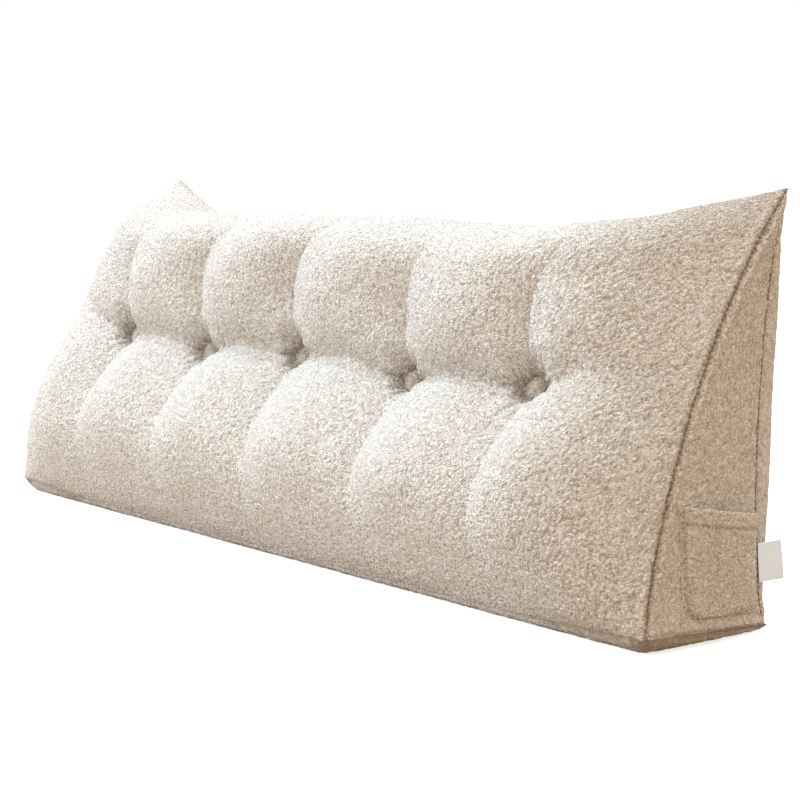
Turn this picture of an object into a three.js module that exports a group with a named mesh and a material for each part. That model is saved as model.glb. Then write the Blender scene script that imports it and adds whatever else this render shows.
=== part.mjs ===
// Wedge-shaped, button-tufted bed pillow in teddy fleece, standing on its base.
// Millimetres. X runs along the length, the tufted front faces -Y, +Z is up.
import * as THREE from 'three';

// Overall cover, seam to seam
const HALF_LENGTH_FOOT = 603;
const HALF_LENGTH_TIP = 571;
const END_PULL = 5;
const BASE_FRONT_Y = -101;
const BASE_BACK_Y = 94;
const FOOT_SEAM_Z_MIDDLE = 10;
const FOOT_SEAM_Z_END = 14;
const HEEL_SEAM_Z = 3;
const TIP_Y = 141;
const TIP_Z = 468;
const TOP_SEAM_Y = 97;
const TOP_SEAM_Z = 402;
const EAR_START = 0.6;
const EAR_POWER = 1.26;

// Crown of the filled panels
const END_BOW = 36;
const END_BOW_POWER = 0.8;
const END_ROLL = 158;
const BACK_DRAW = 13;
const BACK_CROWN = 23;
const BACK_ROLL = 40;
const BASE_ROLL_FRONT = 16;
const BASE_ROLL_BACK = 12;
const BASE_ROLL_END = 34;
const GUSSET_CROWN = 10;

// Tufting: one row of buttons splits the front into two rows of puffs
const TUFTS = [
  { name: 'button_1', x: -384, lift: 1 },
  { name: 'button_2', x: -203, lift: -4 },
  { name: 'button_3', x: -14, lift: 5 },
  { name: 'button_4', x: 191, lift: -5 },
  { name: 'button_5', x: 386, lift: 1 },
];
const END_PUFF_HALF = 98;
const CREASE_SHARE = 0.52;
const CREASE_ARCH = 6;
const BUTTON_LEVEL = 56;
const CREASE_RISE = 16;
const LOWER = { furrow: 42, centre: 90, peakShift: -0.06, power: 0.85 };
const UPPER = { furrow: 84, centre: 128, peakShift: 0.12, power: 0.6 };
const EAR_THINNING = 0.38;
// Past the last button of the row the two puffs merge into one round end
const END_ARCH = 112;
const END_ARCH_POWER = 0.28;
const ARCH_THINNING = 0.55;
const END_MERGE = 0.68;
const END_MERGE_RUN = 180;
const SEAT_RADIUS = 22.5;
const SEAT_SLOPE = 2.4;
const SEAT_STEP = 0.015;

// Fitted pieces
const BUTTON_RADIUS = 15.5;
const BUTTON_HEIGHT = 11;
const CLOTH = 3;
const GAP = 0.3;
const POCKET = {
  front: -48, backBottom: 76, backTop: 82, bottom: 0.03, top: 0.255, depth: 12, corner: 0.24, cornerRun: 24,
};
const LABEL = { front: 93, back: 127, bottom: 0.1, top: 0.19, thickness: 1.2, curl: 3 };

// Mesh stations
const ACROSS_HALF_PUFF = [8, 15.5, 27, 41, 58, 78];
const ACROSS_END = [8, 15.5, 27, 41, 60, 82, 105, 128, 150, 168, 182, 192];
const LOWER_ROWS = [0, 0.07, 0.16, 0.28, 0.41, 0.54, 0.67, 0.78, 0.87, 0.932, 0.966, 1];
const UPPER_ROWS = [0.037, 0.074, 0.15, 0.25, 0.37, 0.5, 0.63, 0.75, 0.85, 0.92, 0.97, 1];
const BACK_ROWS = [0, 0.04, 0.12, 0.25, 0.4, 0.55, 0.7, 0.82, 0.91, 0.97, 1];
const BASE_COLUMNS = [0, 0.05, 0.11, 0.35, 0.65, 0.94, 0.97, 1];

const clamp = (value) => Math.min(Math.max(value, 0), 1);
const smooth = (value) => clamp(value) ** 2 * (3 - 2 * clamp(value));
const mix = (a, b, share) => a + (b - a) * share;
const hump = (share) => 4 * share * (1 - share);

// Rises from 0 at a seam or furrow to 1, as a round shoulder of the filling does
function shoulder(distance, roundness) {
  const floor = Math.sqrt(1 - roundness);
  return (Math.sqrt(1 - roundness * (1 - clamp(distance)) ** 2) - floor) / (1 - floor);
}

function lobe(share, { peakShift, power }) {
  const warped = share - peakShift * Math.sin(Math.PI * share);
  return clamp(Math.sin(Math.PI * warped)) ** power;
}

// Seam places in the section at u, from -1 at the left end to 1 at the right end
function seams(u) {
  const ear = clamp((Math.abs(u) - EAR_START) / (1 - EAR_START)) ** EAR_POWER;
  return {
    foot: [BASE_FRONT_Y, mix(FOOT_SEAM_Z_MIDDLE, FOOT_SEAM_Z_END, Math.abs(u) ** 6)],
    heel: [BASE_BACK_Y, HEEL_SEAM_Z],
    top: [mix(TOP_SEAM_Y, TIP_Y, ear), mix(TOP_SEAM_Z, TIP_Z, ear)],
  };
}

function halfLength(share, inset) {
  return mix(HALF_LENGTH_FOOT, HALF_LENGTH_TIP, share) - END_PULL * hump(share) - inset;
}

// Distance across a puff from its nearest furrow, 0 at the furrow and 1 at the puff's middle
function acrossPuff(x) {
  const right = TUFTS.findIndex((tuft) => tuft.x >= x);
  if (right === 0) return clamp((TUFTS[0].x - x) / END_PUFF_HALF);
  if (right < 0) return clamp((x - TUFTS.at(-1).x) / END_PUFF_HALF);
  const [a, b] = [TUFTS[right - 1].x, TUFTS[right].x];
  return Math.min(x - a, b - x) / ((b - a) / 2);
}

// Height of the crease in millimetres along the slope, over its even place
function creaseLift(x) {
  const right = TUFTS.findIndex((tuft) => tuft.x >= x);
  const arch = CREASE_ARCH * Math.sin((Math.PI / 2) * acrossPuff(x)) ** 2;
  if (right === 0) return TUFTS[0].lift + arch;
  if (right < 0) return TUFTS.at(-1).lift + arch;
  const [a, b] = [TUFTS[right - 1], TUFTS[right]];
  return mix(a.lift, b.lift, smooth((x - a.x) / (b.x - a.x))) + arch;
}

// A point of the front panel: x, then y and z from the chord between its seams and its bulge
function frontPoint(u, upperRow, t, inset = 0) {
  const { foot, top } = seams(u);
  const chord = [top[0] - foot[0], top[1] - foot[1]];
  const slope = Math.hypot(...chord);
  const normal = [-chord[1] / slope, chord[0] / slope];
  const roughX = u * halfLength(CREASE_SHARE, inset);
  const crease = CREASE_SHARE + creaseLift(roughX) / slope;
  const share = upperRow ? mix(crease, 1, t) : crease * t;
  const x = u * halfLength(share, inset);
  const across = shoulder(acrossPuff(x), 0.75);
  const row = upperRow ? UPPER : LOWER;
  const fade = upperRow ? 0.8 * smooth((t - 0.45) / 0.5) : smooth((0.5 - t) / 0.5);
  const filled = mix(row.furrow, row.centre, across + (1 - across) * fade);
  const thinning = upperRow ? EAR_THINNING * Math.abs(u) ** 2.2 * smooth(2 * t) : 0;
  const line = (BUTTON_LEVEL + CREASE_RISE * across) * (upperRow ? 1 - t : t);
  const puffs = line + filled * lobe(t, row) * (1 - thinning);
  const arch = END_ARCH * hump(share) ** END_ARCH_POWER * (1 - ARCH_THINNING * thinning);
  const beyond = Math.max(TUFTS[0].x - x, x - TUFTS.at(-1).x, 0);
  const tufted = mix(puffs, arch, END_MERGE * smooth(beyond / END_MERGE_RUN));
  const bow = END_BOW * hump(share) ** END_BOW_POWER;
  const ending = shoulder((halfLength(share, inset) - Math.abs(x)) / END_ROLL, 0.6);
  const seat = Math.min(...TUFTS.map((tuft) => {
    const level = CREASE_SHARE + tuft.lift / slope;
    const reach = Math.hypot(x - tuft.x, (share - level) * slope);
    return BUTTON_LEVEL + SEAT_SLOPE * Math.max(reach - SEAT_RADIUS, 0);
  }));
  const bulge = Math.min(mix(bow, tufted, ending), seat);
  return [
    x,
    foot[0] + chord[0] * share + normal[0] * bulge,
    foot[1] + chord[1] * share + normal[1] * bulge,
  ];
}

function frontAt(u, share, inset = 0) {
  const { foot, top } = seams(u);
  const slope = Math.hypot(top[0] - foot[0], top[1] - foot[1]);
  const crease = CREASE_SHARE + creaseLift(u * halfLength(CREASE_SHARE, inset)) / slope;
  if (share <= crease) return frontPoint(u, false, share / crease, inset);
  return frontPoint(u, true, (share - crease) / (1 - crease), inset);
}

// The back panel, share 0 at the heel seam and 1 at the top seam
function backPoint(u, share, inset = 0) {
  const { heel, top } = seams(u);
  const x = u * halfLength(share, inset);
  const ending = shoulder((halfLength(share, inset) - Math.abs(x)) / BACK_ROLL, 0.8);
  const drawn = BACK_DRAW * hump(share) ** END_BOW_POWER * (1 - ending);
  const crown = BACK_CROWN * Math.sqrt(hump(share)) * ending;
  return [x, mix(heel[0], top[0], share) - drawn + crown, mix(heel[1], top[1], share)];
}

// The base, share 0 at the foot seam and 1 at the heel seam, flat on the surface inside its rolls
function basePoint(u, share, inset = 0) {
  const { foot, heel } = seams(u);
  const x = u * halfLength(0, inset);
  const y = mix(foot[0], heel[0], share);
  const edge = Math.min((y - foot[0]) / BASE_ROLL_FRONT, (heel[0] - y) / BASE_ROLL_BACK);
  const end = (halfLength(0, inset) - Math.abs(x)) / BASE_ROLL_END;
  const raised = 1 - shoulder(edge, 0.9) * shoulder(end, 0.9);
  return [x, y, mix(foot[1], heel[1], share) * raised];
}

// The gusset at one end: share climbs its two seams, width goes from the front seam to the back one
function gussetPoint(side, share, width, inset = 0) {
  const front = frontAt(side, share, inset);
  const back = backPoint(side, share, inset);
  const crown = side * GUSSET_CROWN * hump(width) * Math.sqrt(clamp(hump(share)));
  return [
    mix(front[0], back[0], width) + crown,
    mix(front[1], back[1], width),
    mix(front[2], back[2], width),
  ];
}

// Collects points and faces, and merges points that coincide
class Skin {
  constructor() {
    this.points = [];
    this.faces = [];
    this.known = new Map();
  }

  point([x, y, z]) {
    const key = [x, y, z].map((value) => Math.round(value * 1000)).join(' ');
    if (!this.known.has(key)) {
      this.known.set(key, this.points.length / 3);
      this.points.push(x, y, z);
    }
    return this.known.get(key);
  }

  face(a, b, c) {
    const [i, j, k] = [a, b, c].map((corner) => this.point(corner));
    if (i !== j && j !== k && k !== i) this.faces.push(i, j, k);
  }

  // Rows of points, each as long as the next
  grid(rows, flip = false) {
    for (let i = 0; i + 1 < rows.length; i++) this.strip(rows[i], rows[i + 1], flip);
  }

  // Joins two lines of points that may differ in number
  strip(first, second, flip = false) {
    const step = (line, i) => (i + 1) / (line.length - 1);
    let [i, j] = [0, 0];
    while (i + 1 < first.length || j + 1 < second.length) {
      const advanceFirst = j + 1 >= second.length
        || (i + 1 < first.length && step(first, i) <= step(second, j) + 1e-9);
      const next = advanceFirst ? first[i + 1] : second[j + 1];
      if (flip) this.face(first[i], second[j], next);
      else this.face(first[i], next, second[j]);
      if (advanceFirst) i += 1;
      else j += 1;
    }
  }

  geometry() {
    const geometry = new THREE.BufferGeometry();
    geometry.setAttribute('position', new THREE.Float32BufferAttribute(this.points, 3));
    geometry.setIndex(this.faces);
    geometry.computeVertexNormals();
    return geometry;
  }
}

// Places along the length: close together at each furrow and at the ends
function lengthStations(inset) {
  const half = halfLength(CREASE_SHARE, inset);
  const places = new Set(TUFTS.map((tuft) => tuft.x));
  TUFTS.forEach((tuft, i) => {
    const next = TUFTS[i + 1];
    if (!next) return;
    const middle = (tuft.x + next.x) / 2;
    const stretch = (next.x - tuft.x) / 2 / END_PUFF_HALF;
    places.add(middle);
    for (const offset of ACROSS_HALF_PUFF) {
      const step = offset > SEAT_RADIUS ? offset * stretch : offset;
      places.add(tuft.x + step);
      places.add(next.x - step);
    }
  });
  for (const offset of ACROSS_END) {
    places.add(TUFTS[0].x - offset);
    places.add(TUFTS.at(-1).x + offset);
  }
  const inner = [...places].map((x) => x / half).filter((u) => Math.abs(u) < 0.995);
  return [-1, ...inner.sort((a, b) => a - b), 1];
}

const frontLine = (u, inset) => [
  ...LOWER_ROWS.map((t) => frontPoint(u, false, t, inset)),
  ...UPPER_ROWS.map((t) => frontPoint(u, true, t, inset)),
];
const backLine = (u, inset) => BACK_ROWS.map((share) => backPoint(u, share, inset));
const baseLine = (u, inset) => BASE_COLUMNS.map((share) => basePoint(u, share, inset));

// Columns of one end's gusset surface, from the front seam to the back seam
function gussetColumns(side, inset) {
  return BASE_COLUMNS.map((width) => {
    if (width === 0) return frontLine(side, inset);
    return BACK_ROWS.map((share) => gussetPoint(side, share, width, inset));
  });
}

function cushionGeometry() {
  const inset = CLOTH + GAP;
  const skin = new Skin();
  const stations = lengthStations(inset);
  skin.grid(stations.map((u) => frontLine(u, inset)), true);
  skin.grid(stations.map((u) => backLine(u, inset)));
  skin.grid(stations.map((u) => baseLine(u, inset)));
  skin.grid(gussetColumns(1, inset), true);
  skin.grid(gussetColumns(-1, inset));
  return skin.geometry();
}

const moved = (point, distance) => [point[0] + distance, point[1], point[2]];

// A triangular cut piece of cloth, one thickness deep, sewn over one end of the cushion
function endPanelGeometry(side) {
  const skin = new Skin();
  const outer = gussetColumns(side, 0);
  const inner = gussetColumns(side, CLOTH);
  const rim = (columns) => [
    ...[...columns[0]].reverse(),
    ...columns.slice(1, -1).map((column) => column[0]),
    ...columns.at(-1),
  ];
  skin.grid(outer, side > 0);
  skin.grid(inner, side < 0);
  skin.strip(rim(outer), rim(inner), side > 0);
  return skin.geometry();
}

// A sheet of cloth, given by the rows of points of its inner face, as thick as asked along X
function sheetGeometry(rows, thickness) {
  const skin = new Skin();
  const outer = rows.map((row) => row.map((point) => moved(point, thickness)));
  const rim = (sheet) => [
    ...sheet[0],
    ...sheet.slice(1, -1).map((row) => row.at(-1)),
    ...[...sheet.at(-1)].reverse(),
    ...sheet.slice(1, -1).map((row) => row[0]).reverse(),
    sheet[0][0],
  ];
  skin.grid(rows, true);
  skin.grid(outer);
  skin.strip(rim(rows), rim(outer));
  return skin.geometry();
}

const steps = (count) => Array.from({ length: count + 1 }, (_, i) => i / count);

// The patch pocket: its mouth stands off the gusset, its other three edges are sewn down
function pocketGeometry() {
  const rows = steps(10).map((rise) => {
    const share = mix(POCKET.bottom, POCKET.top, rise);
    const [front, back] = [frontAt(1, share), backPoint(1, share)];
    const corner = 1 - Math.sqrt(1 - clamp(1 - rise / POCKET.corner) ** 2);
    const first = POCKET.front + POCKET.cornerRun * corner;
    const last = mix(POCKET.backBottom, POCKET.backTop, rise);
    const open = POCKET.depth * Math.sin((Math.PI / 2) * rise) ** 0.5;
    return steps(12).map((across) => {
      const y = mix(first, last, across);
      const width = (y - front[1]) / (back[1] - front[1]);
      return moved(gussetPoint(1, share, width), GAP + open * hump(across) ** 0.5);
    });
  });
  return sheetGeometry(rows, CLOTH);
}

// The sewn-in label leaves the back seam of the right gusset and curls a little
function labelGeometry() {
  const rows = steps(2).map((rise) => {
    const share = mix(LABEL.bottom, LABEL.top, rise);
    const seam = backPoint(1, share);
    return steps(4).map((out) => [
      seam[0] + GAP + 0.4 + LABEL.curl * out ** 2,
      mix(LABEL.front, LABEL.back, out),
      seam[2],
    ]);
  });
  return sheetGeometry(rows, LABEL.thickness);
}

function buttonGeometry() {
  const profile = [[0, 0], [0.76, 0], [0.97, 0.2], [1, 0.42], [0.9, 0.68], [0.62, 0.9], [0.3, 0.98], [0, 1]];
  const points = profile.map(([r, h]) => new THREE.Vector2(r * BUTTON_RADIUS, h * BUTTON_HEIGHT));
  return new THREE.LatheGeometry(points, 20);
}

const fleece = new THREE.MeshStandardMaterial({ color: 0xe9dfd2, roughness: 0.95, metalness: 0 });
const gussetFleece = new THREE.MeshStandardMaterial({ color: 0xd8c4ac, roughness: 0.95, metalness: 0 });
const satin = new THREE.MeshStandardMaterial({ color: 0xf4f3f0, roughness: 0.6, metalness: 0 });

function named(name, geometry, material) {
  const mesh = new THREE.Mesh(geometry, material);
  mesh.name = name;
  return mesh;
}

// A covered button, on the plane of its seat in the tufted front
function button(tuft) {
  const mesh = named(tuft.name, buttonGeometry(), fleece);
  const inset = CLOTH + GAP;
  const u = tuft.x / halfLength(CREASE_SHARE, inset);
  const at = (du, upperRow, t) => new THREE.Vector3(...frontPoint(u + du, upperRow, t, inset));
  const along = at(SEAT_STEP, true, 0).sub(at(-SEAT_STEP, true, 0));
  const upward = at(0, true, UPPER_ROWS[0]).sub(at(0, false, 1 - UPPER_ROWS[0]));
  const normal = along.cross(upward).normalize();
  mesh.quaternion.setFromUnitVectors(new THREE.Vector3(0, 1, 0), normal);
  mesh.position.copy(at(0, true, 0)).addScaledVector(normal, GAP + 0.1);
  return mesh;
}

const group = new THREE.Group();
group.add(named('cushion', cushionGeometry(), fleece));
group.add(named('end_panel_right', endPanelGeometry(1), gussetFleece));
group.add(named('end_panel_left', endPanelGeometry(-1), gussetFleece));
group.add(named('side_pocket', pocketGeometry(), gussetFleece));
TUFTS.forEach((tuft) => group.add(button(tuft)));
group.add(named('care_label', labelGeometry(), satin));

// The origin is the middle of the base of the whole pillow's box
const box = new THREE.Box3().setFromObject(group);
group.position.set(-(box.min.x + box.max.x) / 2, -(box.min.y + box.max.y) / 2, -box.min.z);

export default group;
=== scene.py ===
"""Wedge-shaped, button-tufted bed pillow in cream teddy fleece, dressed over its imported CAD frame."""
import math

import bpy
import numpy as np
from mathutils import Matrix, Vector


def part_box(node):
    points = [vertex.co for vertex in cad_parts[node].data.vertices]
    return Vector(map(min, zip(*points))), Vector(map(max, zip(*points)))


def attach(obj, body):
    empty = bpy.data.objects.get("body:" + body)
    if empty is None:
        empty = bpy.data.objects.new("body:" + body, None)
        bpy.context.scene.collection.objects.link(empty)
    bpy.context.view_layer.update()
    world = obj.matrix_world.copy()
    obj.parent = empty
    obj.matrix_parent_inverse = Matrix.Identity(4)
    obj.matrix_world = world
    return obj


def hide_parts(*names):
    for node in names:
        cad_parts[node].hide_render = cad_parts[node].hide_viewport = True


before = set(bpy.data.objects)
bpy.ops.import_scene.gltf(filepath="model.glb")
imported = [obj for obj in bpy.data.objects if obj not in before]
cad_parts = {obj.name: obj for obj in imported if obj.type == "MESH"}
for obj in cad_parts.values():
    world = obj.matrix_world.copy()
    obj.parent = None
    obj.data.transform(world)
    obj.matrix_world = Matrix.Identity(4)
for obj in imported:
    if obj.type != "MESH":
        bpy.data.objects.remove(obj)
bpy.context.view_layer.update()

# Cover, seam to seam, in millimetres of the CAD model; its ears are the raised top corners
HALF_LENGTH_FOOT = 603.0
HALF_LENGTH_TIP = 571.0
END_PULL = 5.0
BASE_FRONT_Y = -101.0
BASE_BACK_Y = 94.0
FOOT_SEAM_Z_MIDDLE = 10.0
FOOT_SEAM_Z_END = 19.0
HEEL_SEAM_Z = 5.0
TIP_Y = 141.0
TIP_Z = 468.0
TOP_SEAM_Y = 97.0
TOP_SEAM_Z = 402.0
EAR_START = 0.6
EAR_POWER = 1.26
EAR_BACK = 8.0
EAR_DOWN = 3.0
TIP_REACH = 13.0
TIP_PUSH = {-1.0: 9.0, 1.0: 2.0}
TIP_INWARD = (0.3, -0.5, -0.81)
FOOT_SEAM_POWER = 6

# Crown of the filled panels
END_BOW = 36.0
END_BOW_POWER = 0.8
END_ROLL = 158.0
END_ROUNDNESS = 0.6
END_SLOPE = 132.0
END_TURN = 62.0
BACK_DRAW = 28.0
BACK_DRAW_POWER = 0.45
BACK_CROWN = 23.0
BACK_ROLL = 26.0
BACK_ROUNDNESS = 0.8
BASE_ROLL_FRONT = 16.0
BASE_ROLL_BACK = 12.0
BASE_ROLL_END = 24.0
BASE_ROUNDNESS = 0.9
BASE_END_ROUNDNESS = 0.97
BASE_SWELL = 11.0
GUSSET_CROWN = 5.0

# Tufting
TUFT_X = np.array([-384.0, -203.0, -11.0, 198.0, 389.0])
TUFT_LIFT = np.array([1.0, -4.0, 5.0, -5.0, 1.0])
END_PUFF_HALF = 98.0
PUFF_POWER = 1.7
CREASE_SHARE = 0.52
CREASE_ARCH = 6.0
BUTTON_LEVEL = 56.0
CREASE_RISE = 16.0
LOWER = {"furrow": 60.0, "centre": 90.0, "shift": -0.06, "power": 0.85}
UPPER = {"furrow": 84.0, "centre": 128.0, "shift": 0.12, "power": 0.6}
EAR_THINNING = {"most": 0.38, "power": 2.2, "run": 0.5}
END_ARCH = 112.0
END_ARCH_POWER = 0.28
ARCH_THINNING = 0.55
END_MERGE = 0.68
END_MERGE_RUN = 180.0
SEAT_RADIUS = 16.0
SEAT_SLOPE = 2.6
SEAT_BLEND = 16.0

# How the furrows fade out away from the crease, and how the upper ones lean to the right
UPPER_FADE = {"start": 0.2, "sooner": 0.1, "run": 0.52, "middle": 0.95}
LOWER_FADE = {"most": 0.96, "end": 0.78, "power": 1.25}
UPPER_LEAN = {"start": 0.3, "run": 300.0, "power": 1.6, "most": 80.0, "less": 0.75}

FLOOR_CLEAR = 0.2
CLOTH = 3.0
GAP = 0.3
BUTTON_RADIUS = 15.5
BUTTON_HEIGHT = 11.0
POCKET = {
    "front": -48.0, "back_bottom": 76.0, "back_top": 82.0, "bottom": 0.03, "top": 0.255,
    "depth": 12.0, "corner": 0.24, "corner_run": 24.0, "mouth_power": 0.8, "belly_power": 0.9,
}
LABEL = {"long": 37.0, "bottom": 0.1, "top": 0.19, "curl": 3.0}

# The CAD model's own millimetres, moved so that its box stands centred on the origin
cushion_low, cushion_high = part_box("cushion")
panel_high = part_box("end_panel_right")[1]
SHIFT = np.array([
    500.0 * (cushion_low[0] + cushion_high[0]),
    1000.0 * panel_high[1] - TIP_Y,
    0.0,
])


def to_row(points):
    """Millimetres of the CAD model in metres of its row."""
    return (points + SHIFT) / 1000.0


def clamp(value):
    return np.clip(value, 0.0, 1.0)


def smooth(value):
    return clamp(value) ** 2 * (3.0 - 2.0 * clamp(value))


def mix(a, b, share):
    """a at share 0, b at share 1."""
    return a + (b - a) * share


def hump(share):
    """1 in the middle, 0 at both ends."""
    return 4.0 * share * (1.0 - share)


def gauss(distance, width):
    return np.exp(-((distance / width) ** 2))


def soft_min(a, b, blend):
    """The lower of two values, rounded over where they are less than blend apart."""
    near = np.maximum(blend - np.abs(a - b), 0.0)
    return np.minimum(a, b) - near ** 2 / (4.0 * blend)


def grid(first, second):
    return np.meshgrid(first, second, indexing="ij")


def shoulder(distance, roundness):
    """Rises from 0 at an edge to 1 at distance 1, as a rounded shoulder."""
    floor = math.sqrt(1.0 - roundness)
    return (np.sqrt(1.0 - roundness * (1.0 - clamp(distance)) ** 2) - floor) / (1.0 - floor)


def lobe(share, row):
    """The side view of one row of puffs, 0 at both its ends."""
    warped = share - row["shift"] * np.sin(np.pi * share)
    return clamp(np.sin(np.pi * warped)) ** row["power"]


def seams(u):
    """Foot, heel and top seam as (y, z) pairs in the section at u, from -1 to 1."""
    away = np.abs(u)
    ear = clamp((away - EAR_START) / (1.0 - EAR_START)) ** EAR_POWER
    foot = (BASE_FRONT_Y + 0.0 * away, mix(FOOT_SEAM_Z_MIDDLE, FOOT_SEAM_Z_END, away ** FOOT_SEAM_POWER))
    heel = (BASE_BACK_Y + 0.0 * away, HEEL_SEAM_Z + 0.0 * away)
    top = (mix(TOP_SEAM_Y, TIP_Y + EAR_BACK, ear), mix(TOP_SEAM_Z, TIP_Z - EAR_DOWN, ear))
    return foot, heel, top


def half_length(share):
    """Half the cover's length at a share of its height."""
    return mix(HALF_LENGTH_FOOT, HALF_LENGTH_TIP, share) - END_PULL * hump(share)


def past_tufts(x):
    """How far x lies beyond the first or the last tuft, below 0 between them."""
    return np.maximum(TUFT_X[0] - x, x - TUFT_X[-1])


def between_tufts(x):
    """The number of the tuft to the right of x, with the places of the tufts to its left and right."""
    right = np.clip(np.searchsorted(TUFT_X, x), 1, len(TUFT_X) - 1)
    return right, TUFT_X[right - 1], TUFT_X[right]


def across_puff(x):
    """0 at a furrow, 1 at the middle of a puff."""
    _, a, b = between_tufts(x)
    between = np.minimum(x - a, b - x) / ((b - a) / 2.0)
    outside = clamp(past_tufts(x) / END_PUFF_HALF)
    return np.where((x <= TUFT_X[0]) | (x >= TUFT_X[-1]), outside, between)


def crease_lift(x):
    """How far the crease between the rows of puffs lies above its mean level."""
    right, a, b = between_tufts(x)
    lift = mix(TUFT_LIFT[right - 1], TUFT_LIFT[right], smooth((x - a) / (b - a)))
    return lift + CREASE_ARCH * np.sin(np.pi / 2.0 * across_puff(x)) ** 2


def section(u):
    """Foot seam of the front panel at u, with its chord, the chord's length and its outward normal."""
    foot, _, top = seams(u)
    chord = (top[0] - foot[0], top[1] - foot[1])
    slope = np.hypot(*chord)
    return foot, chord, slope, (-chord[1] / slope, chord[0] / slope)


def crease_at(u, slope):
    """The share of the height at which the crease runs, where the chord is slope long."""
    return CREASE_SHARE + crease_lift(u * half_length(CREASE_SHARE)) / slope


def blunted(points):
    """The points with both ear tips pushed in to a soft end."""
    for side in (-1.0, 1.0):
        tip = np.array([side * HALF_LENGTH_TIP, TIP_Y + EAR_BACK, TIP_Z - EAR_DOWN])
        near = gauss(np.linalg.norm(points - tip, axis=-1), TIP_REACH)
        inward = np.array([-side * TIP_INWARD[0], TIP_INWARD[1], TIP_INWARD[2]])
        points = points + near[..., None] * TIP_PUSH[side] * inward
    return points


def puffed(u, x, upper, t):
    """How far the puffs stand off the chord, and how much thinner they are towards the ears."""
    lean = UPPER_LEAN["run"] * np.maximum(t - UPPER_LEAN["start"], 0.0) ** UPPER_LEAN["power"]
    lean = np.where(upper, np.minimum(lean, UPPER_LEAN["most"]), 0.0) * (1.0 - UPPER_LEAN["less"] * clamp(u))
    across = 1.0 - (1.0 - across_puff(x - lean)) ** PUFF_POWER
    begun = t - UPPER_FADE["start"] + UPPER_FADE["sooner"] * np.abs(u)
    upper_fade = mix(UPPER_FADE["middle"], 1.0, np.abs(u)) * smooth(begun / UPPER_FADE["run"])
    left = clamp((LOWER_FADE["end"] - t) / LOWER_FADE["end"])
    fade = np.where(upper, upper_fade, LOWER_FADE["most"] * left ** LOWER_FADE["power"])
    spread = across + (1.0 - across) * fade
    upper_filled = mix(UPPER["furrow"], UPPER["centre"], spread)
    filled = np.where(upper, upper_filled, mix(LOWER["furrow"], LOWER["centre"], spread))
    rise = np.where(upper, lobe(t, UPPER), lobe(t, LOWER))
    thinned = EAR_THINNING["most"] * np.abs(u) ** EAR_THINNING["power"] * smooth(t / EAR_THINNING["run"])
    thinning = np.where(upper, thinned, 0.0)
    line = (BUTTON_LEVEL + CREASE_RISE * across) * np.where(upper, 1.0 - t, t)
    return line + filled * rise * (1.0 - thinning), thinning


def end_fullness(u, inside):
    """0 at an end seam, 1 well inside: a straight slope at the right end, a rounded shoulder at the left."""
    sloped = soft_min(inside, END_SLOPE, END_TURN) / END_SLOPE
    return np.where(u > 0, sloped, shoulder(inside / END_ROLL, END_ROUNDNESS))


def with_seats(bulge, x, share, slope):
    """The bulge with a seat pressed into it at each button."""
    for tuft_x, lift in zip(TUFT_X, TUFT_LIFT):
        level = CREASE_SHARE + lift / slope
        reach = np.hypot(x - tuft_x, (share - level) * slope)
        seat = BUTTON_LEVEL + SEAT_SLOPE * np.maximum(reach - SEAT_RADIUS, 0.0)
        bulge = soft_min(bulge, seat, SEAT_BLEND)
    return bulge


def front_point(u, upper, t):
    """A point of the front: t climbs the lower row of puffs, or the upper one, from 0 to 1."""
    foot, chord, slope, normal = section(u)
    crease = crease_at(u, slope)
    share = np.where(upper, mix(crease, 1.0, t), crease * t)
    x = u * half_length(share)
    puffs, thinning = puffed(u, x, upper, t)
    arch = END_ARCH * hump(share) ** END_ARCH_POWER * (1.0 - ARCH_THINNING * thinning)
    tufted = mix(puffs, arch, END_MERGE * smooth(past_tufts(x) / END_MERGE_RUN))
    bow = END_BOW * hump(share) ** END_BOW_POWER
    bulge = mix(bow, tufted, end_fullness(u, half_length(share) - np.abs(x)))
    bulge = with_seats(bulge, x, share, slope)
    points = np.stack([
        x,
        foot[0] + chord[0] * share + normal[0] * bulge,
        foot[1] + chord[1] * share + normal[1] * bulge,
    ], axis=-1)
    return blunted(points)


def front_at(u, share):
    """A point of the front by its share of the whole height."""
    crease = crease_at(u, section(u)[2])
    upper = share > crease
    t = np.where(upper, (share - crease) / (1.0 - crease), share / crease)
    return front_point(u, upper, t)


def back_point(u, share):
    """A point of the back panel, share 0 at the heel seam and 1 at the top seam."""
    _, heel, top = seams(u)
    x = u * half_length(share)
    ending = shoulder((half_length(share) - np.abs(x)) / BACK_ROLL, BACK_ROUNDNESS)
    drawn = BACK_DRAW * clamp(hump(share)) ** BACK_DRAW_POWER * (1.0 - ending)
    crown = BACK_CROWN * np.sqrt(clamp(hump(share))) * ending
    y = mix(heel[0], top[0], share) - drawn + crown
    return blunted(np.stack([x, y, mix(heel[1], top[1], share)], axis=-1))


def base_point(u, share):
    """A point of the base panel, share 0 at the foot seam and 1 at the heel seam."""
    foot, heel, _ = seams(u)
    x = u * half_length(0.0 * share)
    y = mix(foot[0], heel[0], share)
    edge = np.minimum((y - foot[0]) / BASE_ROLL_FRONT, (heel[0] - y) / BASE_ROLL_BACK)
    end = (half_length(0.0 * share) - np.abs(x)) / BASE_ROLL_END
    rounded = shoulder(end, BASE_END_ROUNDNESS)
    raised = 1.0 - shoulder(edge, BASE_ROUNDNESS) * rounded
    swell = np.sign(u) * BASE_SWELL * hump(rounded) * np.sqrt(clamp(hump(share)))
    return np.stack([x + swell, y, mix(foot[1], heel[1], share) * raised], axis=-1)


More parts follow.
